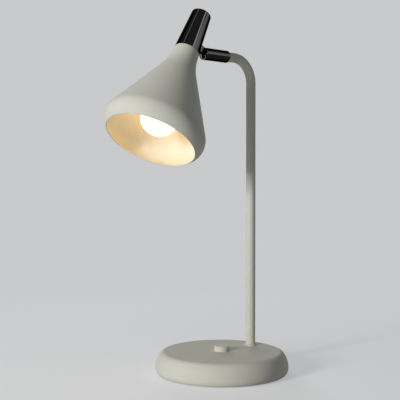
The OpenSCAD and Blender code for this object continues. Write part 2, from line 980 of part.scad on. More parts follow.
// Cast hub inside the cap with a hollow tongue out to the tilt pin.
// The leads go down through the hub, back along the tongue and past the pin.
module head_knuckle() {
    duct_w = tongue_w - 2 * eye_wall;
    duct_h = lead_d + 2;
    wall_r = neck_at(shade_len, cap_wall);
    color(chrome)
        on_head()
            difference() {
                union() {
                    translate([0, 0, shade_len])
                        cylinder(r1 = wall_r - fit_gap, r2 = neck_at(hub_top, cap_wall) - fit_gap, h = hub_h);
                    translate([-reach, -tongue_w / 2, pivot_t - tongue_h / 2])
                        cube([reach - wall_r / 2, tongue_w, tongue_h]);
                    translate([-wall_r - cap_wall, -tongue_w / 2, shade_len])
                        cube([wall_r / 2, tongue_w, hub_h]);
                    eye_disc(eye_r, tongue_w);
                }
                translate([0, 0, shade_len - past])
                    cylinder(r = pipe_d / 2 + fit_gap, h = hub_h + 2 * past);
                eye_disc(eye_r - eye_wall, duct_w);
                eye_disc(pin_d / 2 + fit_gap, 2 * tongue_w);
                translate([-reach, -duct_w / 2, pivot_t - duct_h / 2])
                    cube([reach + lead_drop_x + duct_h / 2, duct_w, duct_h]);
                translate([lead_drop_x, 0, pivot_t - duct_h / 2])
                    block([duct_h, duct_w, hub_h]);
                eye_mouth(duct_w);
                grub_place()
                    translate([0, 0, pipe_d / 2 + past])
                        cylinder(r = grub_d / 2 + fit_gap, h = neck_d);
            }
}

// Opening at the back of the eye, wide enough for the leads at every tilt
module eye_mouth(w) {
    far = 2 * eye_r;
    translate([-reach, w / 2, pivot_t])
        rotate([90, 0, 0])
            linear_extrude(height = w)
                polygon(concat([[0, 0]], [for (a = [80, 120, 165, 205]) far * [cos(a), sin(a)]]));
}

module holder_pipe() {
    color(zinc)
        on_head()
            translate([0, 0, pipe_low])
                ring(pipe_d / 2, pipe_bore / 2, pipe_top - pipe_low);
}

module holder_nut() {
    color(zinc)
        on_head()
            translate([0, 0, hub_top])
                hex_nut(nut_af, pipe_d / 2 + fit_gap, nut_h);
}

// Moulded lampholder: body, sloping shoulder and threaded neck
module lampholder() {
    sleeve_seat_r = sleeve_d / 2 + sleeve_t + fit_gap;
    color(black)
        on_head()
            difference() {
                union() {
                    translate([0, 0, holder_low])
                        cylinder(r = holder_d / 2, h = holder_l);
                    translate([0, 0, holder_neck_low])
                        cylinder(r1 = holder_d / 2, r2 = holder_neck_d / 2, h = holder_shoulder);
                    translate([0, 0, holder_neck_low])
                        cylinder(r = holder_neck_d / 2, h = holder_top_l);
                }
                translate([0, 0, holder_low - past])
                    cylinder(r = sleeve_seat_r, h = socket_depth + past);
                translate([0, 0, socket_floor + socket_floor_t])
                    cylinder(r = pipe_bore / 2, h = holder_l + holder_top_l);
                translate([0, 0, pipe_low - past])
                    cylinder(r = pipe_d / 2 + fit_gap, h = holder_top_l);
                pair(floor_hole_y)
                    translate([0, 0, socket_floor - past])
                        cylinder(r = lead_r + free_gap, h = socket_floor_t + 2 * past);
            }
}

module holder_sleeve() {
    color(brass)
        on_head()
            translate([0, 0, holder_low + past])
                ring(sleeve_d / 2 + sleeve_t, sleeve_d / 2, socket_depth - 2 * past);
}

// Bowed spring strip that presses on the tip of the bulb
module holder_contact() {
    strip_w = 4;
    strip_t = 0.4;
    gap = socket_floor - bulb_low - bulb_base_l - bulb_tip_h;
    bow_h = gap - fit_gap;
    half = sleeve_d / 2 - past;
    bow_r = (half * half + bow_h * bow_h) / (2 * bow_h);
    color(brass)
        on_head()
            translate([0, strip_w / 2, socket_floor - bow_h + bow_r])
                rotate([90, 0, 0])
                    linear_extrude(height = strip_w)
                        intersection() {
                            difference() {
                                circle(r = bow_r);
                                circle(r = bow_r - strip_t);
                            }
                            translate([-half, -bow_r - past])
                                square([2 * half, bow_h + past]);
                        }
}

// Half section of the glass, drawn in by a wall
module glass_section(inset) {
    r = bulb_d / 2 - inset;
    p = globe_c + (r - touch) * glass_n;
    low = globe_c[1] - r;
    neck = bulb_neck_d / 2 - (inset + touch) / glass_n[0];
    intersection() {
        translate(globe_c)
            circle(r = r);
        translate([0, low - past])
            square([bulb_d, p[1] - low + past + lap]);
    }
    polygon([[0, p[1]], p, [neck, bulb_low], [0, bulb_low]]);
}

module bulb_glass() {
    color("#fffaf0")
        on_head()
            difference() {
                rotate_extrude()
                    glass_section(0);
                rotate_extrude()
                    glass_section(glass_wall);
                translate([0, 0, bulb_low - glass_wall])
                    cylinder(r = bulb_neck_d / 2 - 2 * glass_wall, h = 2 * glass_wall);
            }
}

module bulb_base() {
    color(zinc)
        on_head()
            translate([0, 0, bulb_low]) {
                cylinder(r = bulb_base_d / 2, h = bulb_base_l - bulb_taper);
                translate([0, 0, bulb_base_l - bulb_taper])
                    cylinder(r1 = bulb_base_d / 2, r2 = bulb_base_d / 3, h = bulb_taper);
            }
}

module bulb_contact() {
    color(brass)
        on_head()
            translate([0, 0, bulb_low + bulb_base_l])
                cylinder(r1 = bulb_base_d / 4, r2 = bulb_base_d / 6, h = bulb_tip_h);
}

// Two leads up the pipe, over and down into the knuckle, then back to the tilt pin
module head_leads() {
    over_r = -lead_drop_x / 2;
    turn = lead_r + free_gap;
    color("#7a3b2a")
        on_head()
            pair(lead_y) {
                translate([0, 0, socket_floor + socket_floor_t + past])
                    cylinder(r = lead_r, h = pipe_top - socket_floor - socket_floor_t - past);
                translate([-over_r, 0, pipe_top])
                    rotate([90, 0, 0])
                        rotate_extrude(angle = 180)
                            translate([over_r, 0])
                                circle(r = lead_r);
                translate([lead_drop_x, 0, pivot_t + turn])
                    cylinder(r = lead_r, h = pipe_top - pivot_t - turn);
                translate([lead_drop_x, 0, pivot_t + turn])
                    mirror([1, 0, 0])
                        mirror([0, 0, 1])
                            bend(lead_r, turn);
                translate([lead_drop_x - turn, 0, pivot_t])
                    rotate([0, -90, 0])
                        cylinder(r = lead_r, h = reach + lead_drop_x - turn - pin_d / 2 - free_gap);
            }
}

base_cover();
base_weight();
base_plate();
base_pad();
plate_screws();
cord_grommet();
terminal_block();
terminal_screws();
base_leads();
switch_body();
switch_screws();
switch_spring();
switch_button();
stem_collar();
stem_tube();
stem_pipe();
stem_washer();
stem_nut();
stem_leads();
arm_bush();
swivel_bolt();
swivel_washers();
barrel_sleeve();
barrel_fork();
tilt_pin();
tilt_washers();
head_knuckle();
shade();
holder_cap();
cap_grub_screw();
holder_pipe();
holder_nut();
lampholder();
holder_sleeve();
holder_contact();
bulb_glass();
bulb_base();
bulb_contact();
head_leads();
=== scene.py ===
"""Desk lamp: the looks of every piece, built round the fixed frame of its bodies."""

import json
import math

import bmesh
import bpy
from bpy.props import FloatProperty, FloatVectorProperty, IntProperty, PointerProperty
from bpy.types import Operator, Panel, PropertyGroup
from mathutils import Matrix, Vector

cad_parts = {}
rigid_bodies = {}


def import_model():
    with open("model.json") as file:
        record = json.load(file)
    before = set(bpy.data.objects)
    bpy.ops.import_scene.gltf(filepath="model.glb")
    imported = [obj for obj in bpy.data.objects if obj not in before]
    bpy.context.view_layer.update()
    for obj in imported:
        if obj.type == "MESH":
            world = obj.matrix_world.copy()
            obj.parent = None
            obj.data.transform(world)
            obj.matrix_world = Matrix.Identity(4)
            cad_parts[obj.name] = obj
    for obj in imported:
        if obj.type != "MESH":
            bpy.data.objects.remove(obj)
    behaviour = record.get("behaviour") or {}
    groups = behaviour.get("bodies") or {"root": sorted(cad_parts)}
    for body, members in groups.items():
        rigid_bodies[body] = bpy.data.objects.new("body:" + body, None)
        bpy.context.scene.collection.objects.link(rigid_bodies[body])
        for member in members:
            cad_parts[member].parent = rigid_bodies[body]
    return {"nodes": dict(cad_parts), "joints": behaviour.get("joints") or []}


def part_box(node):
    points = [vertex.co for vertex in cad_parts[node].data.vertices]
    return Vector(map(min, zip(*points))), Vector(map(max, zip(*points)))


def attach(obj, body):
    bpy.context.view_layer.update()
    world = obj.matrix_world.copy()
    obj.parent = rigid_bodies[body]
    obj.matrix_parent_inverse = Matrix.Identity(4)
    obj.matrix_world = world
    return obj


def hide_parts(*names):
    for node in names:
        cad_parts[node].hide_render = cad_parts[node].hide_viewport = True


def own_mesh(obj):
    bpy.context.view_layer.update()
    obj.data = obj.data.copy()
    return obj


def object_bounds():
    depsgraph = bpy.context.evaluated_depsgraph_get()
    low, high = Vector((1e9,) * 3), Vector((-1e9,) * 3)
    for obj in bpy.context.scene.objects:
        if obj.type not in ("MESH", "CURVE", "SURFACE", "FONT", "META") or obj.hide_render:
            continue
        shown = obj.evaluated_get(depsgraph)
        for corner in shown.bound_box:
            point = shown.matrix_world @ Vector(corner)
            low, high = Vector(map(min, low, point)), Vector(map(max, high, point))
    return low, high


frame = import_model()
CAD_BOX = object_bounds()

bl_info = {
    "name": "Desk Lamp",
    "version": (1, 0, 0),
    "blender": (4, 5, 0),
    "location": "View3D > Sidebar > Desk Lamp",
    "description": "Builds a desk lamp with a weighted base, a bent stem and a tilting spun shade",
    "category": "Add Mesh",
}

MM = 0.001
SEGMENTS = 160


# Places measured on the frame

def centre_of(node):
    """Middle of a node's box."""
    low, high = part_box(node)
    return (low + high) / 2


def turned_frame(origin, across, along):
    """Matrix at a place, with its Z along one direction and its Y as near as can be to another."""
    z = along.normalized()
    y = (across - across.dot(z) * z).normalized()
    return Matrix.Translation(origin) @ Matrix((y.cross(z), y, z)).transposed().to_4x4()


def profile_extent(node, matrix):
    """Lowest and highest height of a node along a frame's Z, and its widest radius round it."""
    inverse = matrix.inverted()
    points = [inverse @ vertex.co for vertex in frame["nodes"][node].data.vertices]
    heights = [point.z for point in points]
    return min(heights), max(heights), max(math.hypot(point.x, point.y) for point in points)


def joint(name):
    """What the record says of a joint."""
    return next(row for row in frame["joints"] if row["name"] == name)


def joint_axis(name):
    """Direction of a joint's axis at rest."""
    return Vector(joint(name)["axis"])


def joint_place(name):
    """A point on a joint's axis."""
    return Vector(joint(name)["pos_m"])


HOLDER = centre_of("holder_sleeve")
HEAD = turned_frame(HOLDER, -joint_axis("head_tilt"), centre_of("holder_pipe") - HOLDER)
HEAD = HEAD @ Matrix.Translation((0, 0, profile_extent("shade", HEAD)[0]))
SHADE_LOW, SHADE_TOP, SHADE_R = profile_extent("shade", HEAD)
CAP_TOP = profile_extent("holder_cap", HEAD)[1]
HOLDER_LOW = profile_extent("lampholder", HEAD)[0]
HOLDER_R = profile_extent("lampholder", HEAD)[2]
SCREW_LOW, SCREW_TOP, SCREW_R = profile_extent("bulb_base", HEAD)
GLASS_LOW, GLASS_TOP, GLASS_R = profile_extent("bulb_glass", HEAD)

ARM = turned_frame(joint_place("barrel_swivel"), -joint_axis("head_tilt"), joint_axis("barrel_swivel"))
BARREL_REAR, BARREL_FRONT, BARREL_R = profile_extent("barrel_sleeve", ARM)

BASE_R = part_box("base_cover")[1].x
BASE_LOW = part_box("base_cover")[0].z
BASE_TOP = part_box("base_cover")[1].z
STEM_X = centre_of("stem_collar").x
COLLAR_LOW, COLLAR_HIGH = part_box("stem_collar")
ARM_Z = joint_place("barrel_swivel").z
ARM_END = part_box("stem_tube")[1].x
BUTTON_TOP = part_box("switch_button")[1].z


def linear(code):
    """Linear red, green, blue and full alpha of an sRGB hex colour."""
    channels = [int(code[i:i + 2], 16) / 255 for i in (1, 3, 5)]
    curve = [c / 12.92 if c <= 0.04045 else ((c + 0.055) / 1.055) ** 2.4 for c in channels]
    return curve + [1.0]


def length(name, description, default):
    """A size that a user may change."""
    return FloatProperty(name=name, description=description, default=default, min=0, unit="LENGTH")


def count(name, description, default, low):
    """A number of like things that a user may change."""
    return IntProperty(name=name, description=description, default=default, min=low)


def strength(name, description, default):
    """A light's strength that a user may change."""
    return FloatProperty(name=name, description=description, default=default, min=0)


def colour(name, description, code):
    """A colour that a user may change."""
    return FloatVectorProperty(
        name=name, description=description, default=linear(code), size=4, min=0, max=1, subtype="COLOR"
    )


class LampSizes(PropertyGroup):
    """Sizes that the frame's boxes don't give."""
    side_run: length("Side run", "How far the base's side reaches out past its flat top", 11.5 * MM)
    widest_height: length("Widest height", "Height of the base's widest circle", 7.2 * MM)
    top_edge: length("Top edge", "Radius of the base's rounded top edge", 8 * MM)
    curl: length("Curl", "Radius of the curl under the base's side", 7.8 * MM)
    cover_wall: length("Cover wall", "Thickness of the base's pressed cover", 1.2 * MM)
    button_width: length("Button width", "Diameter of the push button", 19 * MM)
    button_edge: length("Button edge", "Rounding of the button's top edge", 1.4 * MM)
    tube: length("Tube", "Outer diameter of the bent tube", 12 * MM)
    bend: length("Bend", "Radius of the bend at the tube's centre line", 30 * MM)
    band: length("Band", "Radius of the rounded band above the shade's mouth", 18.3 * MM)
    mouth: length("Mouth", "Diameter of the shade's open mouth", 106.6 * MM)
    neck: length("Neck", "Diameter of the shade's neck at its top", 30.8 * MM)
    neck_length: length("Neck length", "Length of the neck down to where the cone would meet it", 19 * MM)
    hollow: length("Hollow", "Radius of the hollow curve between neck and cone", 70 * MM)
    shade_wall: length("Shade wall", "Thickness of the spun sheet", 1 * MM)
    cap_width: length("Cap width", "Diameter of the cap at its top", 24.2 * MM)
    cap_edge: length("Cap edge", "Rounding of the cap's top edge", 1.6 * MM)
    rear_chamfer: length("Rear chamfer", "Chamfer on the barrel's rear end", 1.2 * MM)
    front_chamfer: length("Front chamfer", "Chamfer on the barrel's front end", 0.5 * MM)
    barrel_wall: length("Barrel wall", "Wall of the barrel round the fork", 1.3 * MM)
    slot_width: length("Slot", "Width of the slots that the knuckle's tongue passes through", 5.8 * MM)
    thread_pitch: length("Thread pitch", "Pitch of the bulb's screw thread", 2.82 * MM)
    grips: count("Grips", "Number of grip ribs round the lampholder", 30, 3)
    spring_wire: length("Spring wire", "Diameter of the return spring's wire", 0.8 * MM)
    spring_turns: count("Spring turns", "Number of turns of the return spring", 4, 1)


class LampColours(PropertyGroup):
    """Colours of the finishes."""
    coat: colour("Coat", "Matt cream powder coat", "#D8D8CB")
    button: colour("Button", "Cream plastic of the push button", "#DAD8CB")
    chrome: colour("Chrome", "Black chrome plate of the barrel and the cap", "#222222")
    zinc: colour("Zinc", "Bright zinc plate", "#B9BBBD")
    iron: colour("Iron", "Cast iron under dark paint", "#3B3C3E")
    brass: colour("Brass", "Turned brass", "#C9A45C")
    foam: colour("Foam", "Foam rubber of the foot pad", "#1E1E1F")
    rubber: colour("Rubber", "Rubber of the grommet", "#232324")
    phenolic: colour("Phenolic", "Black moulding of the lampholder and switch", "#17171A")
    nylon: colour("Nylon", "Off-white moulding of the terminal block", "#E4E0D3")
    fibre: colour("Fibre", "Pressed fibre of the washers", "#5A2B20")
    brown_lead: colour("Brown lead", "Insulation of the live leads", "#5B3020")
    blue_lead: colour("Blue lead", "Insulation of the neutral leads", "#2B5C9A")
    glass: colour("Glass", "Opal glass of the bulb", "#F6F1E6")
    glow: colour("Glow", "Warm light of the bulb", "#FFD097")
    floor: colour("Floor", "Pale floor and surroundings", "#C9CACB")


class LampStage(PropertyGroup):
    """Camera and light."""
    camera: FloatVectorProperty(
        name="Camera", description="Place of the camera", default=(0.7245, 0.7379, 0.2392),
        subtype="TRANSLATION", unit="LENGTH",
    )
    aim: FloatVectorProperty(
        name="Aim", description="Direction that the camera looks in", default=(-0.68144, -0.73147, -0.02419),
        subtype="DIRECTION",
    )
    focal: FloatProperty(
        name="Focal length", description="Focal length of the lens", default=75.26, min=1, unit="CAMERA",
    )
    light_distance: length("Light distance", "Distance of the soft lights from the lamp", 2.4)
    key_strength: strength("Key", "Strength of the main light", 46)
    back_share: strength("Back", "Strength of the light from behind, as a share of the main light's", 0.25)
    streak_strength: strength("Streaks", "Strength of the lights that only polished pieces show", 8.5)
    fill: strength("Fill", "Strength of the even light from all round", 0.15)
    glow_strength: strength("Glow", "Strength of the lit bulb", 3.0)


# Outlines, each a list of (radius, height) with the material on its left

def arc(centre, radius, start, end, steps):
    """Points of an arc between two angles in degrees."""
    angles = [math.radians(start + (end - start) * i / steps) for i in range(steps + 1)]
    return [(centre[0] + radius * math.cos(a), centre[1] + radius * math.sin(a)) for a in angles]


def rounded(corner, before, after, radius, steps=6):
    """Points that round a corner of an outline between its two neighbours."""
    corner = Vector(corner)
    to_before = (Vector(before) - corner).normalized()
    to_after = (Vector(after) - corner).normalized()
    half = math.acos(max(-1, min(1, to_before.dot(to_after)))) / 2
    reach = radius / math.tan(half)
    middle = corner + (to_before + to_after).normalized() * radius / math.sin(half)
    first = corner + to_before * reach - middle
    last = corner + to_after * reach - middle
    turn = first.angle_signed(last)
    points = []
    for i in range(steps + 1):
        spoke = Matrix.Rotation(-turn * i / steps, 2) @ first
        points.append(tuple(middle + spoke))
    return points


def mesh_piece(name, bm, matrix, material=None):
    """An object at the origin whose mesh has its place in it."""
    mesh = bpy.data.meshes.new(name)
    bm.to_mesh(mesh)
    bm.free()
    mesh.transform(matrix)
    piece = bpy.data.objects.new(name, mesh)
    bpy.context.scene.collection.objects.link(piece)
    if material:
        mesh.materials.append(material)
    return piece


def smooth(piece, angle=32):
    """Smooth shading that keeps the edges sharper than an angle in degrees."""
    piece.data.shade_smooth()
    piece.data.set_sharp_from_angle(angle=math.radians(angle))
    return piece


def revolve(name, outline, matrix, material, segments=SEGMENTS):
    """A piece turned round Z from a closed outline; points on the axis become one vertex."""
    bm = bmesh.new()
    rings = []
    for radius, height in outline:
        if radius < 1e-7:
            rings.append([bm.verts.new((0, 0, height))])
            continue
        angles = [2 * math.pi * i / segments for i in range(segments)]
        rings.append([bm.verts.new((radius * math.cos(a), radius * math.sin(a), height)) for a in angles])
    for ring, after in zip(rings, rings[1:] + rings[:1]):
        for i in range(segments if len(ring) + len(after) > 2 else 0):
            j = (i + 1) % segments
            corners = [ring[i % len(ring)], ring[j % len(ring)], after[j % len(after)], after[i % len(after)]]
            bm.faces.new(list(dict.fromkeys(corners)))
    return smooth(mesh_piece(name, bm, matrix, material))


def bar(name, size, middle, matrix):
    """A rectangular cutter in a piece's own frame."""
    bm = bmesh.new()
    bmesh.ops.create_cube(bm, size=1, matrix=Matrix.Translation(middle) @ Matrix.Diagonal((*size, 1)))
    return mesh_piece(name, bm, matrix)


def rod(name, radius, depth, matrix, segments=64):
    """A round cutter along Z, centred on its frame."""
    bm = bmesh.new()
    bmesh.ops.create_cone(bm, cap_ends=True, segments=segments, radius1=radius, radius2=radius, depth=depth)
    return mesh_piece(name, bm, matrix)


def baked(piece):
    """Turns what the modifiers give into the piece's own plain mesh."""
    depsgraph = bpy.context.evaluated_depsgraph_get()
    mesh = bpy.data.meshes.new_from_object(piece.evaluated_get(depsgraph))
    piece.modifiers.clear()
    piece.data = mesh
    return piece


def cut(piece, cutters):
    """Takes each cutter away from the piece."""
    for cutter in cutters:
        modifier = piece.modifiers.new("Cut", "BOOLEAN")
        modifier.operation = "DIFFERENCE"
        modifier.solver = "EXACT"
        modifier.object = cutter
    baked(piece)
    for cutter in cutters:
        bpy.data.objects.remove(cutter)
    return smooth(piece)


# Geometry node trees

def add(tree, kind, inputs=None, **settings):
    """Adds a node, sets it up and links or fills its inputs by name."""
    node = tree.nodes.new(kind)
    for key, value in settings.items():
        setattr(node, key, value)
    for key, value in (inputs or {}).items():
        socket = node.inputs[key]
        if isinstance(value, bpy.types.NodeSocket):
            tree.links.new(value, socket)
        else:
            socket.default_value = value
    return node


def new_tree(name, inputs):
    """A geometry node tree with named inputs; returns it with its group input."""
    tree = bpy.data.node_groups.new(name, "GeometryNodeTree")
    tree.interface.new_socket("Geometry", in_out="OUTPUT", socket_type="NodeSocketGeometry")
    for label, kind in inputs.items():
        tree.interface.new_socket(label, in_out="INPUT", socket_type=kind)
    return tree, tree.nodes.new("NodeGroupInput").outputs


def close_tree(tree, given, geometry):
    """Ends a tree: real geometry, smooth faces and the material."""
    real = add(tree, "GeometryNodeRealizeInstances", {"Geometry": geometry}).outputs[0]
    soft = add(tree, "GeometryNodeSetShadeSmooth", {"Geometry": real}).outputs[0]
    made = add(tree, "GeometryNodeSetMaterial", {"Geometry": soft, "Material": given["Material"]}).outputs[0]
    add(tree, "NodeGroupOutput", {"Geometry": made})
    return tree


def bent_tube_tree():
    """A round tube along an upright, a quarter bend and an arm."""
    tree, given = new_tree("Bent tube", {
        "Foot": "NodeSocketVector", "Rise": "NodeSocketFloat", "Reach": "NodeSocketFloat",
        "Bend": "NodeSocketFloat", "Diameter": "NodeSocketFloat", "Material": "NodeSocketMaterial",
    })
    index = add(tree, "GeometryNodeInputIndex").outputs[0]
    up = add(tree, "ShaderNodeMath", {0: index, 1: 1.0}, operation="MINIMUM").outputs[0]
    out = add(tree, "ShaderNodeMath", {0: index, 1: up}, operation="SUBTRACT").outputs[0]
    height = add(tree, "ShaderNodeMath", {0: up, 1: given["Rise"]}, operation="MULTIPLY").outputs[0]
    reach = add(tree, "ShaderNodeMath", {0: out, 1: given["Reach"]}, operation="MULTIPLY").outputs[0]
    shift = add(tree, "ShaderNodeCombineXYZ", {"X": reach, "Z": height}).outputs[0]
    place = add(tree, "ShaderNodeVectorMath", {0: given["Foot"], 1: shift}, operation="ADD").outputs[0]
    line = add(tree, "GeometryNodeMeshLine", {"Count": 3}).outputs[0]
    placed = add(tree, "GeometryNodeSetPosition", {"Geometry": line, "Position": place}).outputs[0]
    path = add(tree, "GeometryNodeMeshToCurve", {"Mesh": placed}).outputs[0]
    bent = add(
        tree, "GeometryNodeFilletCurve", {"Curve": path, "Count": 40, "Radius": given["Bend"]}, mode="POLY"
    ).outputs[0]
    radius = add(tree, "ShaderNodeMath", {0: given["Diameter"], 1: 0.5}, operation="MULTIPLY").outputs[0]
    circle = add(tree, "GeometryNodeCurvePrimitiveCircle", {"Resolution": 96, "Radius": radius}).outputs[0]
    tube = add(
        tree, "GeometryNodeCurveToMesh", {"Curve": bent, "Profile Curve": circle, "Fill Caps": True}
    ).outputs[0]
    return close_tree(tree, given, tube)


def ring_tree():
    """Copies of one piece on a circle round Z, each turned to face outwards."""
    tree, given = new_tree("Ring of pieces", {
        "Geometry": "NodeSocketGeometry", "Count": "NodeSocketInt", "Radius": "NodeSocketFloat",
        "Material": "NodeSocketMaterial",
    })
    points = add(
        tree, "GeometryNodeMeshCircle", {"Vertices": given["Count"], "Radius": given["Radius"]}
    ).outputs[0]
    step = add(tree, "ShaderNodeMath", {0: 2 * math.pi, 1: given["Count"]}, operation="DIVIDE").outputs[0]
    index = add(tree, "GeometryNodeInputIndex").outputs[0]
    angle = add(tree, "ShaderNodeMath", {0: index, 1: step}, operation="MULTIPLY").outputs[0]
    euler = add(tree, "ShaderNodeCombineXYZ", {"Z": angle}).outputs[0]
    turn = add(tree, "FunctionNodeEulerToRotation", {"Euler": euler}).outputs[0]
    copies = add(tree, "GeometryNodeInstanceOnPoints", {
        "Points": points, "Instance": given["Geometry"], "Rotation": turn,
    }).outputs[0]
    return close_tree(tree, given, copies)


def helix_tree():
    """A round wire wound on a cylinder, as a spring or as the ridge of a screw thread."""
    tree, given = new_tree("Helix", {
        "Turns": "NodeSocketFloat", "Pitch": "NodeSocketFloat", "Radius": "NodeSocketFloat",
        "Wire": "NodeSocketFloat", "Material": "NodeSocketMaterial",
    })
    height = add(
        tree, "ShaderNodeMath", {0: given["Turns"], 1: given["Pitch"]}, operation="MULTIPLY"
    ).outputs[0]
    path = add(tree, "GeometryNodeCurveSpiral", {
        "Resolution": 48, "Rotations": given["Turns"], "Start Radius": given["Radius"],
        "End Radius": given["Radius"], "Height": height,
    }).outputs[0]
    circle = add(
        tree, "GeometryNodeCurvePrimitiveCircle", {"Resolution": 12, "Radius": given["Wire"]}
    ).outputs[0]
    wound = add(
        tree, "GeometryNodeCurveToMesh", {"Curve": path, "Profile Curve": circle, "Fill Caps": True}
    ).outputs[0]
    return close_tree(tree, given, wound)


def grown(name, tree, values, matrix=None, seed=None):
    """The plain mesh piece that a tree makes, from a seed mesh where it needs one."""
    mesh = seed or bpy.data.meshes.new(name)
    piece = bpy.data.objects.new(name, mesh)
    bpy.context.scene.collection.objects.link(piece)
    modifier = piece.modifiers.new(tree.name, "NODES")
    modifier.node_group = tree
    for item in tree.interface.items_tree:
        if item.in_out == "INPUT" and item.name in values:
            modifier[item.identifier] = values[item.name]
    baked(piece)
    if matrix:
        piece.data.transform(matrix)
    return smooth(piece)


# Finishes

def new_finish(name):
    """A material with its tree, its shader and the piece's own coordinates."""
    material = bpy.data.materials.new(name)
    material.use_nodes = True
    tree = material.node_tree
    place = add(tree, "ShaderNodeTexCoord").outputs["Object"]
    return material, tree, tree.nodes["Principled BSDF"].inputs, place


def grain(tree, place, size, detail=2.0):
    """Noise whose cells are about a size in metres."""
    noise = add(tree, "ShaderNodeTexNoise", {"Vector": place, "Scale": 1 / size, "Detail": detail})
    return noise.outputs["Fac"]


def mixed(tree, factor, first, second):
    """The mix of two colours, which are the Mix node's inputs 6 and 7."""
    return add(tree, "ShaderNodeMix", {0: factor, 6: first, 7: second}, data_type="RGBA").outputs[2]


def tinted(tree, factor, colour_value, low, high):
    """A colour that a pattern makes darker and lighter between two shares."""
    dark = [c * low for c in colour_value[:3]] + [1]
    light = [min(1, c * high) for c in colour_value[:3]] + [1]
    return mixed(tree, factor, dark, light)


def spread(tree, factor, low, high):
    """A noise's value, which stays mostly between 0.3 and 0.7, stretched from low to high."""
    return add(tree, "ShaderNodeMapRange", {
        "Value": factor, "From Min": 0.3, "From Max": 0.7, "To Min": low, "To Max": high,
    }).outputs["Result"]


def bumped(tree, factor, depth, strength=1.0):
    """The surface's slope from a pattern of a depth in metres."""
    return add(tree, "ShaderNodeBump", {"Height": factor, "Distance": depth, "Strength": strength}).outputs[0]


def powder_coat():
    """Polyester powder, sprayed on and baked matt.

    It gives a dull even face that fades softly from light to shade, over a fine orange peel.
    """
    material, tree, shader, place = new_finish("powder_coat_matt_cream")
    coat = bpy.context.scene.lamp_colours.coat
    mottle = grain(tree, place, 38 * MM, 3)
    peel = grain(tree, place, 0.9 * MM)
    tree.links.new(tinted(tree, mottle, coat, 0.97, 1.03), shader["Base Color"])
    tree.links.new(spread(tree, peel, 0.52, 0.66), shader["Roughness"])
    tree.links.new(bumped(tree, peel, 0.03 * MM), shader["Normal"])
    shader["Specular IOR Level"].default_value = 0.3
    return material


def moulded(name, colour_value, roughness, size, depth):
    """A moulded plastic, rubber or fibre: an even colour with the fine spark texture of its mould."""
    material, tree, shader, place = new_finish(name)
    spark = grain(tree, place, size)
    tree.links.new(tinted(tree, grain(tree, place, 14 * MM), colour_value, 0.94, 1.06), shader["Base Color"])
    tree.links.new(spread(tree, spark, roughness - 0.06, roughness + 0.08), shader["Roughness"])
    tree.links.new(bumped(tree, spark, depth), shader["Normal"])
    return material


def plated(name, colour_value, roughness, cloud, edge=1.0):
    """A plated or turned metal: mirror-like, with faint clouds of wiping in its gloss.

    A lower edge value darkens what it mirrors near its outline: painted shade on the reflection, standing in
    for dark surroundings.
    """
    material, tree, shader, place = new_finish(name)
    shader["Metallic"].default_value = 1.0
    # A Specular Tint below 1 is painted shade: it darkens the reflection near the outline
    shader["Specular Tint"].default_value = (edge, edge, edge, 1)
    wipe = grain(tree, place, cloud, 4)
    tree.links.new(tinted(tree, wipe, colour_value, 0.93, 1.05), shader["Base Color"])
    tree.links.new(spread(tree, wipe, roughness, roughness * 1.8), shader["Roughness"])
    return material


def cast_iron():
    """Sand-cast iron under one coat of paint: dull and dark, with the grit of the mould."""
    material, tree, shader, place = new_finish("cast_iron_painted")
    grit = grain(tree, place, 1.4 * MM, 5)
    tree.links.new(tinted(tree, grit, bpy.context.scene.lamp_colours.iron, 0.7, 1.2), shader["Base Color"])
    tree.links.new(spread(tree, grit, 0.6, 0.85), shader["Roughness"])
    tree.links.new(bumped(tree, grit, 0.25 * MM), shader["Normal"])
    return material


def lead_insulation():
    """PVC drawn over the wire: one lead of each pair is brown and the other blue, with a slight gloss."""
    material, tree, shader, place = new_finish("pvc_lead_insulation")
    colours = bpy.context.scene.lamp_colours
    side = add(tree, "ShaderNodeSeparateXYZ", {"Vector": place}).outputs["Y"]
    blue = add(tree, "ShaderNodeMath", {0: side, 1: 0.0}, operation="GREATER_THAN").outputs[0]
    tree.links.new(mixed(tree, blue, colours.brown_lead, colours.blue_lead), shader["Base Color"])
    tree.links.new(spread(tree, grain(tree, place, 3 * MM), 0.35, 0.5), shader["Roughness"])
    return material


def opal_glass():
    """Blown glass, made opal: lit, it glows warm and evenly under a glossy skin, with faint clouds."""
    material, tree, shader, place = new_finish("opal_glass_lit")
    scene = bpy.context.scene
    cloud = grain(tree, place, 20 * MM)
    tree.links.new(tinted(tree, cloud, scene.lamp_colours.glass, 0.97, 1.02), shader["Base Color"])
    tree.links.new(tinted(tree, cloud, scene.lamp_colours.glow, 0.96, 1.0), shader["Emission Color"])
    shader["Emission Strength"].default_value = scene.lamp_stage.glow_strength
    shader["Roughness"].default_value = 0.12
    return material


FINISHES = {}


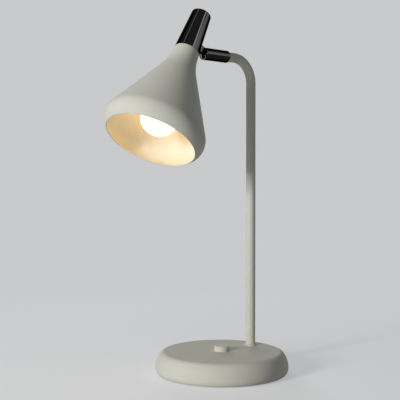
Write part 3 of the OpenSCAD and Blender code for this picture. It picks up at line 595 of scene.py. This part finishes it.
def finish(name):
    """The finish of that name, made once."""
    colours = bpy.context.scene.lamp_colours
    makers = {
        "coat": powder_coat,
        "iron": cast_iron,
        "lead": lead_insulation,
        "opal": opal_glass,
        # Black chrome, plated on polished brass: a near-black mirror with crisp bright lines, with painted
        # shade on its outline
        "chrome": lambda: plated("chrome_plate_dark", colours.chrome, 0.05, 12 * MM, 0.35),
        # Bright zinc, plated in a drum: a pale grey metal that blurs what it mirrors
        "zinc": lambda: plated("zinc_plate_bright", colours.zinc, 0.26, 4 * MM),
        # Brass, turned from bar: a yellow metal with soft highlights
        "brass": lambda: plated("brass_turned", colours.brass, 0.2, 5 * MM),
        # Foam rubber, cut from sheet: black and quite dull, with open cells
        "foam": lambda: moulded("foam_rubber", colours.foam, 0.85, 0.8 * MM, 0.2 * MM),
        # Soft rubber, moulded: near-black and dull
        "rubber": lambda: moulded("rubber_moulded", colours.rubber, 0.6, 0.5 * MM, 0.03 * MM),
        # Phenolic, moulded hot: black with a hard low gloss
        "phenolic": lambda: moulded("phenolic_moulded_black", colours.phenolic, 0.38, 0.6 * MM, 0.02 * MM),
        # Nylon, moulded in its own colour: off-white and waxy
        "nylon": lambda: moulded("nylon_moulded_white", colours.nylon, 0.5, 0.6 * MM, 0.02 * MM),
        # ABS, moulded to match the coat: cream with a little more gloss than the metal round it
        "button": lambda: moulded("abs_moulded_cream", colours.button, 0.42, 0.6 * MM, 0.02 * MM),
        # Vulcanised fibre, pressed and stamped: dull red-brown
        "fibre": lambda: moulded("vulcanised_fibre", colours.fibre, 0.6, 0.4 * MM, 0.02 * MM),
    }
    if name not in FINISHES:
        FINISHES[name] = makers[name]()
    return FINISHES[name]


def dress(nodes, name):
    """Gives CAD nodes a finish."""
    for node in nodes:
        slots = frame["nodes"][node].data.materials
        slots.clear()
        slots.append(finish(name))


def stand_for(piece, body, node):
    """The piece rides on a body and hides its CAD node."""
    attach(piece, body)
    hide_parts(node)
    return piece


# Outlines of this lamp

def base_outline():
    """Outer and inner side of the pressed cover, from the lip up to the middle and back."""
    sizes = bpy.context.scene.lamp_sizes
    side_h = BASE_TOP - sizes.widest_height
    top_r = BASE_R - sizes.side_run
    chord = sizes.side_run ** 2 + side_h ** 2 - 2 * side_h * sizes.top_edge
    side_r = chord / (2 * (sizes.side_run - sizes.top_edge))
    side_c = Vector((BASE_R - side_r, sizes.widest_height))
    edge_c = Vector((top_r, BASE_TOP - sizes.top_edge))
    curl_c = Vector((BASE_R - sizes.curl, sizes.widest_height))
    join = math.degrees(math.atan2(*(edge_c - side_c).yx))

    def skin(inset):
        dip = math.degrees(math.asin((BASE_LOW - sizes.widest_height) / (sizes.curl - inset)))
        curl = arc(curl_c, sizes.curl - inset, dip, 0, 16)
        side = arc(side_c, side_r - inset, 0, join, 24)
        edge = arc(edge_c, sizes.top_edge - inset, join, 90, 20)
        return curl + side[1:] + edge[1:] + [(0, BASE_TOP - inset)]

    return skin(0) + skin(sizes.cover_wall)[::-1]


def shade_outline():
    """Outer and inner side of the spun sheet, from the mouth up to the neck's top and back."""
    sizes = bpy.context.scene.lamp_sizes
    neck_r = sizes.neck / 2
    mouth_r = sizes.mouth / 2
    slope = (sizes.neck - sizes.cap_width) / 2 / (CAP_TOP - SHADE_TOP)
    band_x = SHADE_R - sizes.band
    band_c = Vector((band_x, math.sqrt(sizes.band ** 2 - (mouth_r - band_x) ** 2)))
    corner = Vector((neck_r + slope * sizes.neck_length, SHADE_TOP - sizes.neck_length))
    to_band = band_c - corner
    cone_turn = math.atan2(to_band.y, to_band.x) + math.asin(sizes.band / to_band.length)
    cone_n = Vector((-math.sin(cone_turn), math.cos(cone_turn)))
    neck_n = Vector((1, slope)).normalized()
    hollow_c = corner + sizes.hollow * (cone_n + neck_n) / (1 + cone_n.dot(neck_n))
    cone_angle = math.degrees(math.atan2(cone_n.y, cone_n.x))
    neck_angle = math.degrees(math.atan2(neck_n.y, neck_n.x))

    half = sizes.shade_wall / 2
    mouth_angle = math.degrees(math.asin((half - band_c.y) / (sizes.band - half)))

    def skin(inset, top):
        band = arc(band_c, sizes.band - inset, mouth_angle, cone_angle, 48)
        hollow = arc(hollow_c, sizes.hollow + inset, cone_angle + 180, neck_angle + 180, 24)
        return band + hollow + [(neck_r + slope * (SHADE_TOP - top) - inset / neck_n.x, top)]

    outer = skin(0, SHADE_TOP)
    inner = skin(sizes.shade_wall, SHADE_TOP - sizes.shade_wall)
    middle = (Vector(outer[0]) + Vector(inner[0])) / 2
    lip = arc(middle, half, mouth_angle - 180, mouth_angle, 10)
    rim_edge = 0.6 * MM
    rim = rounded(outer[-1], outer[-2], (0, SHADE_TOP), rim_edge)
    hole = 4.8 * MM
    flange = [(hole, SHADE_TOP), (hole, SHADE_TOP - sizes.shade_wall)]
    return lip + outer[1:-1] + rim + flange + inner[:0:-1]


def cap_outline():
    """Closed cap that carries the neck's taper on, with a rounded top edge."""
    sizes = bpy.context.scene.lamp_sizes
    wall = 0.8 * MM
    foot_chamfer = 0.15 * MM
    top_r = sizes.cap_width / 2
    foot_r = sizes.neck / 2
    outer = [(foot_r - foot_chamfer, SHADE_TOP), (foot_r, SHADE_TOP + foot_chamfer)]
    edge = rounded((top_r, CAP_TOP), outer[-1], (0, CAP_TOP), sizes.cap_edge, 10)
    inner = [(0, CAP_TOP - wall), (top_r - wall, CAP_TOP - wall), (foot_r - wall, SHADE_TOP)]
    return outer + edge + [(0, CAP_TOP)] + inner


def barrel_outline():
    """Tube of the swivel barrel with a chamfer on each end."""
    sizes = bpy.context.scene.lamp_sizes
    bore = BARREL_R - sizes.barrel_wall
    bore_end = BARREL_FRONT - 20 * MM
    arm_hole = 6.05 * MM
    rear = [(BARREL_R - sizes.rear_chamfer, BARREL_REAR), (BARREL_R, BARREL_REAR + sizes.rear_chamfer)]
    front = [(BARREL_R, BARREL_FRONT - sizes.front_chamfer), (BARREL_R - sizes.front_chamfer, BARREL_FRONT)]
    inside = [(bore, BARREL_FRONT), (bore, bore_end), (arm_hole, bore_end), (arm_hole, BARREL_REAR)]
    return rear + front + inside


def glass_outline():
    """Outer skin of the round bulb and its short neck, closed at the base."""
    neck_r = 7.5 * MM
    globe_c = Vector((0, GLASS_LOW + GLASS_R))
    to_neck = Vector((neck_r, GLASS_TOP)) - globe_c
    turn = math.atan2(to_neck.y, to_neck.x) - math.acos(GLASS_R / to_neck.length)
    globe = arc(globe_c, GLASS_R, -90, math.degrees(turn), 48)
    return [(0, GLASS_LOW)] + globe[1:] + [(neck_r, GLASS_TOP), (0, GLASS_TOP)]


def holder_outline():
    """Lampholder: skirt, groove, body, sloping shoulder and neck."""
    neck_r = 8 * MM
    seat_r = 8 * MM
    seat_top = HOLDER_LOW + 21 * MM
    top = SHADE_TOP - 1 * MM
    shoulder = top - 20 * MM
    shoulder_rise = 6 * MM
    groove = HOLDER_LOW + 20 * MM
    groove_width = 1 * MM
    groove_depth = 0.8 * MM
    skirt_edge = 1 * MM
    body = [
        (HOLDER_R, groove - groove_depth), (HOLDER_R - groove_depth, groove),
        (HOLDER_R - groove_depth, groove + groove_width), (HOLDER_R, groove + groove_width + groove_depth),
        (HOLDER_R, shoulder), (neck_r, shoulder + shoulder_rise), (neck_r, top),
    ]
    skirt = rounded((HOLDER_R, HOLDER_LOW), (seat_r, HOLDER_LOW), body[0], skirt_edge)
    return skirt + body + [(0, top), (0, seat_top), (seat_r, seat_top), (seat_r, HOLDER_LOW)]


class LampOperator:
    """What every builder of a piece has in common."""
    bl_options = {"REGISTER", "UNDO"}


class LAMP_OT_base_cover(LampOperator, Operator):
    """Pressed cover of the base, with its holes for button and cord"""
    bl_idname = "lamp.base_cover"
    bl_label = "Base cover"

    def execute(self, context):
        button_r = context.scene.lamp_sizes.button_width / 2
        button_gap = 0.3 * MM
        button_depth = 8 * MM
        inlet_r = 4.95 * MM
        inlet_depth = 20 * MM
        cover = revolve("cover", base_outline(), Matrix(), finish("coat"))
        middle = Matrix.Translation((0, 0, BASE_TOP))
        low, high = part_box("cord_grommet")
        inlet = Matrix.Translation((low.x, 0, (low.z + high.z) / 2)) @ Matrix.Rotation(math.pi / 2, 4, "Y")
        cut(cover, [
            rod("button_hole", button_r + button_gap, button_depth, middle),
            rod("inlet_hole", inlet_r, inlet_depth, inlet),
        ])
        stand_for(cover, "root", "base_cover")
        dress(["cord_grommet"], "rubber")
        return {"FINISHED"}


class LAMP_OT_underside(LampOperator, Operator):
    """Pad, plate and countersunk screws under the base"""
    bl_idname = "lamp.underside"
    bl_label = "Underside"

    def execute(self, context):
        low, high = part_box("plate_screws")
        head_r = 4 * MM
        head_edge = 0.2 * MM
        head_height = 2.2 * MM
        shank_r = 2 * MM
        socket_r = 1.44 * MM
        socket_depth = 1.2 * MM
        outline = [
            (0, low.z), (head_r - head_edge, low.z), (head_r, low.z + head_edge),
            (shank_r, low.z + head_height), (shank_r, high.z), (0, high.z),
        ]
        screw = revolve("screw", outline, Matrix(), finish("zinc"), 48)
        cut(screw, [rod("socket", socket_r, 2 * socket_depth, Matrix.Translation((0, 0, low.z)), 6)])
        screws = grown("screws", ring_tree(), {
            "Count": 3, "Radius": high.x - head_r, "Material": finish("zinc"),
        }, seed=screw.data)
        bpy.data.objects.remove(screw)
        stand_for(screws, "root", "plate_screws")
        dress(["base_plate"], "zinc")
        dress(["base_pad"], "foam")
        return {"FINISHED"}


class LAMP_OT_base_inside(LampOperator, Operator):
    """Weight, switch, terminal block and leads inside the base"""
    bl_idname = "lamp.base_inside"
    bl_label = "Inside of the base"

    def execute(self, context):
        dress(["base_weight"], "iron")
        dress(["terminal_block"], "nylon")
        dress(["terminal_screws", "stem_nut", "arm_bush"], "brass")
        dress(["base_leads", "stem_leads", "head_leads"], "lead")
        dress(["switch_body"], "phenolic")
        dress(["switch_screws", "stem_pipe", "stem_washer"], "zinc")
        return {"FINISHED"}


class LAMP_OT_button(LampOperator, Operator):
    """Push button with its flange and plunger, and the spring that it presses together"""
    bl_idname = "lamp.button"
    bl_label = "Push button"

    def execute(self, context):
        sizes = context.scene.lamp_sizes
        low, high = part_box("switch_button")
        r = sizes.button_width / 2
        plunger_r = 3 * MM
        flange_r = high.x
        flange_gap = 0.3 * MM
        flange_wall = 1.2 * MM
        flange_top = BASE_TOP - sizes.cover_wall - flange_gap
        flange_low = flange_top - flange_wall
        edge = rounded((r, BUTTON_TOP), (r, flange_top), (0, BUTTON_TOP), sizes.button_edge, 10)
        outline = [
            (0, low.z), (plunger_r, low.z), (plunger_r, flange_low), (flange_r, flange_low),
            (flange_r, flange_top), (r, flange_top),
        ] + edge + [(0, BUTTON_TOP)]
        button = revolve("button", outline, Matrix(), finish("button"), 96)
        stand_for(button, "button", "switch_button")
        low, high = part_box("switch_spring")
        wire = sizes.spring_wire / 2
        spring = grown("return_spring", helix_tree(), {
            "Turns": float(sizes.spring_turns), "Pitch": (high.z - low.z - 2 * wire) / sizes.spring_turns,
            "Radius": high.x - wire, "Wire": wire, "Material": finish("zinc"),
        }, Matrix.Translation((0, 0, low.z + wire)))
        stand_for(spring, "root", "switch_spring")
        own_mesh(spring)
        return {"FINISHED"}


class LAMP_OT_stem(LampOperator, Operator):
    """Bent tube with the collar at its foot"""
    bl_idname = "lamp.stem"
    bl_label = "Stem"

    def execute(self, context):
        sizes = context.scene.lamp_sizes
        foot = Vector((STEM_X, 0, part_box("stem_tube")[0].z))
        tube = grown("tube", bent_tube_tree(), {
            "Foot": foot, "Rise": ARM_Z - foot.z, "Reach": ARM_END - foot.x,
            "Bend": sizes.bend, "Diameter": sizes.tube, "Material": finish("coat"),
        })
        stand_for(tube, "root", "stem_tube")
        collar_r = COLLAR_HIGH.y
        collar_edge = 0.7 * MM
        bore_r = 4.85 * MM
        edge = rounded((collar_r, COLLAR_HIGH.z), (collar_r, COLLAR_LOW.z), (0, COLLAR_HIGH.z), collar_edge)
        outline = [(bore_r, COLLAR_LOW.z), (collar_r, COLLAR_LOW.z)] + edge + [(bore_r, COLLAR_HIGH.z)]
        collar = revolve("collar", outline, Matrix.Translation((STEM_X, 0, 0)), finish("coat"), 96)
        stand_for(collar, "root", "stem_collar")
        return {"FINISHED"}


class LAMP_OT_barrel(LampOperator, Operator):
    """Swivel barrel on the end of the arm, with what it holds"""
    bl_idname = "lamp.barrel"
    bl_label = "Swivel barrel"

    def execute(self, context):
        width = context.scene.lamp_sizes.slot_width
        behind_pin = 5.5 * MM
        over = 1 * MM
        barrel = revolve("barrel", barrel_outline(), ARM, finish("chrome"), 128)
        rear = (ARM.inverted() @ joint_place("head_tilt")).z - behind_pin
        reach = BARREL_FRONT - rear + over
        depth = BARREL_R + over
        cut(barrel, [bar("slot", (depth, width, reach), (-depth / 2, 0, rear + reach / 2), ARM)])
        stand_for(barrel, "barrel", "barrel_sleeve")
        dress(["barrel_fork"], "chrome")
        dress(["tilt_pin", "swivel_bolt"], "zinc")
        dress(["tilt_washers", "swivel_washers"], "fibre")
        return {"FINISHED"}


class LAMP_OT_shade(LampOperator, Operator):
    """Spun shade"""
    bl_idname = "lamp.shade"
    bl_label = "Shade"

    def execute(self, context):
        shade = revolve("spun_shade", shade_outline(), HEAD, finish("coat"), 192)
        stand_for(shade, "head", "shade")
        return {"FINISHED"}


class LAMP_OT_cap(LampOperator, Operator):
    """Cap on the shade's neck, its grub screw and the knuckle"""
    bl_idname = "lamp.cap"
    bl_label = "Cap"

    def execute(self, context):
        cap = revolve("cap", cap_outline(), HEAD, finish("chrome"), 128)
        above_pin = 4.1 * MM
        width = 4.9 * MM
        depth = 20 * MM
        over = 1 * MM
        grub_r = 1.55 * MM
        grub_out = 15 * MM
        grub_depth = 10 * MM
        top = (HEAD.inverted() @ joint_place("head_tilt")).z + above_pin
        low = SHADE_TOP - over
        slot = bar("slot", (depth, width, top - low), (-depth / 2, 0, (top + low) / 2), HEAD)
        grub_z = (HEAD.inverted() @ centre_of("cap_grub_screw")).z
        grub = HEAD @ Matrix.Translation((0, -grub_out, grub_z)) @ Matrix.Rotation(math.pi / 2, 4, "X")
        cut(cap, [slot, rod("grub_hole", grub_r, grub_depth, grub, 32)])
        stand_for(cap, "head", "holder_cap")
        dress(["head_knuckle"], "chrome")
        dress(["cap_grub_screw", "holder_pipe", "holder_nut"], "zinc")
        return {"FINISHED"}


class LAMP_OT_lampholder(LampOperator, Operator):
    """Lampholder with its grip ribs, sleeve and contact"""
    bl_idname = "lamp.lampholder"
    bl_label = "Lampholder"

    def execute(self, context):
        sizes = context.scene.lamp_sizes
        holder = revolve("holder", holder_outline(), HEAD, finish("phenolic"), 96)
        stand_for(holder, "head", "lampholder")
        rib_r = 0.7 * MM
        rib_length = 12 * MM
        rib_middle = HOLDER_LOW + 10 * MM
        rib = rod("rib", rib_r, rib_length, Matrix.Translation((-rib_r / 2, 0, 0)), 12)
        ribs = grown("grip_ribs", ring_tree(), {
            "Count": sizes.grips, "Radius": HOLDER_R, "Material": finish("phenolic"),
        }, HEAD @ Matrix.Translation((0, 0, rib_middle)), rib.data)
        bpy.data.objects.remove(rib)
        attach(ribs, "head")
        dress(["holder_sleeve", "holder_contact", "bulb_contact"], "brass")
        return {"FINISHED"}


class LAMP_OT_bulb(LampOperator, Operator):
    """Lit opal bulb with its screw base"""
    bl_idname = "lamp.bulb"
    bl_label = "Bulb"

    def execute(self, context):
        sizes = context.scene.lamp_sizes
        globe = revolve("globe", glass_outline(), HEAD, finish("opal"), 128)
        stand_for(globe, "head", "bulb_glass")
        ridge = 0.7 * MM
        core = SCREW_R - ridge
        shoulder = SCREW_TOP - 3 * MM
        outline = [
            (0, SCREW_LOW), (core, SCREW_LOW), (core, shoulder), (SCREW_R * 2 / 3, SCREW_TOP), (0, SCREW_TOP),
        ]
        shell = revolve("screw_base", outline, HEAD, finish("zinc"), 64)
        stand_for(shell, "head", "bulb_base")
        thread_low = SCREW_LOW + 2 * MM
        turns = (SCREW_TOP - SCREW_LOW - 6 * MM) / sizes.thread_pitch
        thread = grown("screw_thread", helix_tree(), {
            "Turns": turns, "Pitch": sizes.thread_pitch, "Radius": core, "Wire": ridge,
            "Material": finish("zinc"),
        }, HEAD @ Matrix.Translation((0, 0, thread_low)))
        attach(thread, "head")
        return {"FINISHED"}


class LAMP_OT_stage(LampOperator, Operator):
    """Pale floor, soft light and the camera"""
    bl_idname = "lamp.stage"
    bl_label = "Stage"

    def execute(self, context):
        scene = context.scene
        stage = scene.lamp_stage
        add_camera(scene, stage)
        # Turn to the right of the camera, rise, width and height, and strength
        add_window(scene, "key", -44, 10, 0.4, 0.7, stage.key_strength)
        add_window(scene, "back", 190, 4, 1.0, 0.8, stage.key_strength * stage.back_share)
        cap_axis = HEAD.col[2].xyz
        barrel_axis = ARM.col[2].xyz
        # Turn round the piece from the side that faces the camera, width and share of the strength
        add_streak(scene, "cap_left", "holder_cap", cap_axis, -29, 0.2, 0.6)
        add_streak(scene, "cap_right", "holder_cap", cap_axis, 20, 0.4, 1.3)
        add_streak(scene, "cap_panel", "holder_cap", cap_axis, 44, 3.0, 0.6)
        add_streak(scene, "barrel_top", "barrel_sleeve", barrel_axis, 31, 0.22, 0.35)
        rim = ARM @ Vector((0, 0, BARREL_FRONT))
        chamfer = (barrel_axis + facing_side(rim, barrel_axis)).normalized()
        add_glint(scene, "barrel_rim", rim, barrel_axis, cap_axis, 0.5, 0.5, 1)
        add_glint(scene, "barrel_chamfer", rim, chamfer, cap_axis, 0.45, 0.9, 1.6)
        add_surroundings(scene, stage)
        add_floor(scene)
        scene.view_settings.view_transform = "Standard"
        return {"FINISHED"}


def add_camera(scene, stage):
    """Camera at the photograph's place, about level with the middle of the lamp."""
    data = bpy.data.cameras.new("camera")
    data.lens = stage.focal
    camera = bpy.data.objects.new("camera", data)
    camera.location = stage.camera
    camera.rotation_euler = Vector(stage.aim).to_track_quat("-Z", "Y").to_euler()
    scene.collection.objects.link(camera)
    scene.camera = camera


def add_softbox(scene, name, matrix, width, height, strength):
    """Rectangular soft light that shines down its frame's Z and that the camera doesn't see."""
    data = bpy.data.lights.new(name, "AREA")
    data.shape = "RECTANGLE"
    data.size = width
    data.size_y = height
    data.energy = strength * math.pi * width * height
    light = bpy.data.objects.new(name, data)
    light.matrix_world = matrix
    light.visible_camera = False
    scene.collection.objects.link(light)
    return light


def add_window(scene, name, turn, rise, width, height, strength):
    """Soft light on the whole lamp, turned to the right of the camera and raised, both in degrees.

    Polished pieces don't mirror it, because at a flat angle it would draw white lines on their outline.
    """
    stage = scene.lamp_stage
    angle = math.atan2(-stage.aim[1], -stage.aim[0]) + math.radians(turn)
    flat = math.cos(math.radians(rise))
    direction = Vector((math.cos(angle) * flat, math.sin(angle) * flat, math.sin(math.radians(rise))))
    place = sum(CAD_BOX, Vector()) / 2 + direction * stage.light_distance
    matrix = turned_frame(place, Vector((0, 0, 1)), direction)
    add_softbox(scene, name, matrix, width, height, strength).visible_glossy = False


def polished_pieces():
    """Collection of the chrome pieces, which the lights of the glints shine on alone."""
    name = "polished_pieces"
    if name not in bpy.data.collections:
        pieces = bpy.data.collections.new(name)
        for item in bpy.data.objects:
            if item.type == "MESH" and finish("chrome") in item.data.materials[:]:
                pieces.objects.link(item)
    return bpy.data.collections[name]


def add_glint(scene, name, place, normal, upright, width, height, strength):
    """Light that only polished faces show, where the camera sees it mirrored by a face at a place."""
    stage = scene.lamp_stage
    direction = (place - Vector(stage.camera)).normalized().reflect(normal)
    matrix = turned_frame(place + direction * stage.light_distance, upright, direction)
    light = add_softbox(scene, name, matrix, width, height, strength * stage.streak_strength)
    light.light_linking.receiver_collection = polished_pieces()


def facing_side(place, axis):
    """Direction square to an axis that comes nearest to facing the camera."""
    view = place - Vector(bpy.context.scene.lamp_stage.camera)
    return axis.cross(view).cross(-axis).normalized()


def add_streak(scene, name, node, axis, turn, width, strength):
    """Glint along a polished round piece, turned round its axis from the side that faces the camera."""
    place = centre_of(node)
    normal = Matrix.Rotation(math.radians(turn), 3, axis) @ facing_side(place, axis)
    streak_length = 1.2
    add_glint(scene, name, place, normal, axis, width, streak_length, strength)


def seen_ray(tree):
    """1 for rays that the camera, a mirror or glass sends, and 0 for the rest."""
    ray = add(tree, "ShaderNodeLightPath").outputs
    mirrored = {0: ray["Is Camera Ray"], 1: ray["Is Glossy Ray"]}
    first = add(tree, "ShaderNodeMath", mirrored, operation="MAXIMUM").outputs[0]
    both = {0: first, 1: ray["Is Transmission Ray"]}
    return add(tree, "ShaderNodeMath", both, operation="MAXIMUM").outputs[0]


def add_surroundings(scene, stage):
    """World: even fill light, and the floor's colour wherever it is seen or mirrored."""
    world = bpy.data.worlds.new("surroundings")
    scene.world = world
    world.use_nodes = True
    tree = world.node_tree
    tree.nodes.clear()
    even = add(tree, "ShaderNodeBackground", {"Color": linear("#F4F6F8"), "Strength": stage.fill}).outputs[0]
    pale = add(tree, "ShaderNodeBackground", {"Color": scene.lamp_colours.floor, "Strength": 1.0}).outputs[0]
    mix = add(tree, "ShaderNodeMixShader", {0: seen_ray(tree), 1: even, 2: pale}).outputs[0]
    add(tree, "ShaderNodeOutputWorld", {"Surface": mix})


def add_floor(scene):
    """Round pale floor that takes the lamp's shadow and fades into the surroundings."""
    floor_colour = scene.lamp_colours.floor
    fade_start = 0.2
    fade_end = 0.9
    # What the soft light leaves missing of the floor's own colour
    lift_share = 0.62
    drop = 0.3 * MM
    floor_r = 6
    material = bpy.data.materials.new("floor_painted_board")
    material.use_nodes = True
    tree = material.node_tree
    tree.nodes.clear()
    place = add(tree, "ShaderNodeTexCoord").outputs["Object"]
    away = add(tree, "ShaderNodeVectorMath", {0: place}, operation="LENGTH").outputs["Value"]
    fade = add(tree, "ShaderNodeMapRange", {
        "Value": away, "From Min": fade_start, "From Max": fade_end,
    }, interpolation_type="SMOOTHSTEP").outputs["Result"]
    seen = seen_ray(tree)
    far = add(tree, "ShaderNodeMath", {0: fade, 1: seen}, operation="MULTIPLY").outputs[0]
    lift = add(tree, "ShaderNodeMath", {0: seen, 1: lift_share}, operation="MULTIPLY").outputs[0]
    board = add(tree, "ShaderNodeBsdfDiffuse", {"Color": floor_colour}).outputs[0]
    lifted = add(tree, "ShaderNodeEmission", {"Color": floor_colour, "Strength": lift}).outputs[0]
    near = add(tree, "ShaderNodeAddShader", {0: board, 1: lifted}).outputs[0]
    glow = add(tree, "ShaderNodeEmission", {"Color": floor_colour, "Strength": 1.0}).outputs[0]
    mix = add(tree, "ShaderNodeMixShader", {0: far, 1: near, 2: glow}).outputs[0]
    add(tree, "ShaderNodeOutputMaterial", {"Surface": mix})
    bm = bmesh.new()
    bmesh.ops.create_circle(bm, cap_ends=True, segments=96, radius=floor_r)
    mesh_piece("floor", bm, Matrix.Translation((0, 0, -drop)), material)


class LAMP_PT_panel(Panel):
    """Lists the lamp's pieces"""
    bl_label = "Desk Lamp"
    bl_idname = "LAMP_PT_panel"
    bl_space_type = "VIEW_3D"
    bl_region_type = "UI"
    bl_category = "Desk Lamp"

    def draw(self, context):
        for operator in PIECES:
            self.layout.operator(operator.bl_idname)


PIECES = (
    LAMP_OT_base_cover, LAMP_OT_underside, LAMP_OT_base_inside, LAMP_OT_button, LAMP_OT_stem, LAMP_OT_barrel,
    LAMP_OT_shade, LAMP_OT_cap, LAMP_OT_lampholder, LAMP_OT_bulb, LAMP_OT_stage,
)
CLASSES = (LampSizes, LampColours, LampStage, LAMP_PT_panel) + PIECES


def register():
    for item in CLASSES:
        bpy.utils.register_class(item)
    bpy.types.Scene.lamp_sizes = PointerProperty(type=LampSizes)
    bpy.types.Scene.lamp_colours = PointerProperty(type=LampColours)
    bpy.types.Scene.lamp_stage = PointerProperty(type=LampStage)


def unregister():
    del bpy.types.Scene.lamp_stage
    del bpy.types.Scene.lamp_colours
    del bpy.types.Scene.lamp_sizes
    for item in reversed(CLASSES):
        bpy.utils.unregister_class(item)


def main():
    """Builds the whole lamp."""
    register()
    for operator in PIECES:
        group, name = operator.bl_idname.split(".")
        getattr(getattr(bpy.ops, group), name)()


if __name__ == "__main__":
    main()
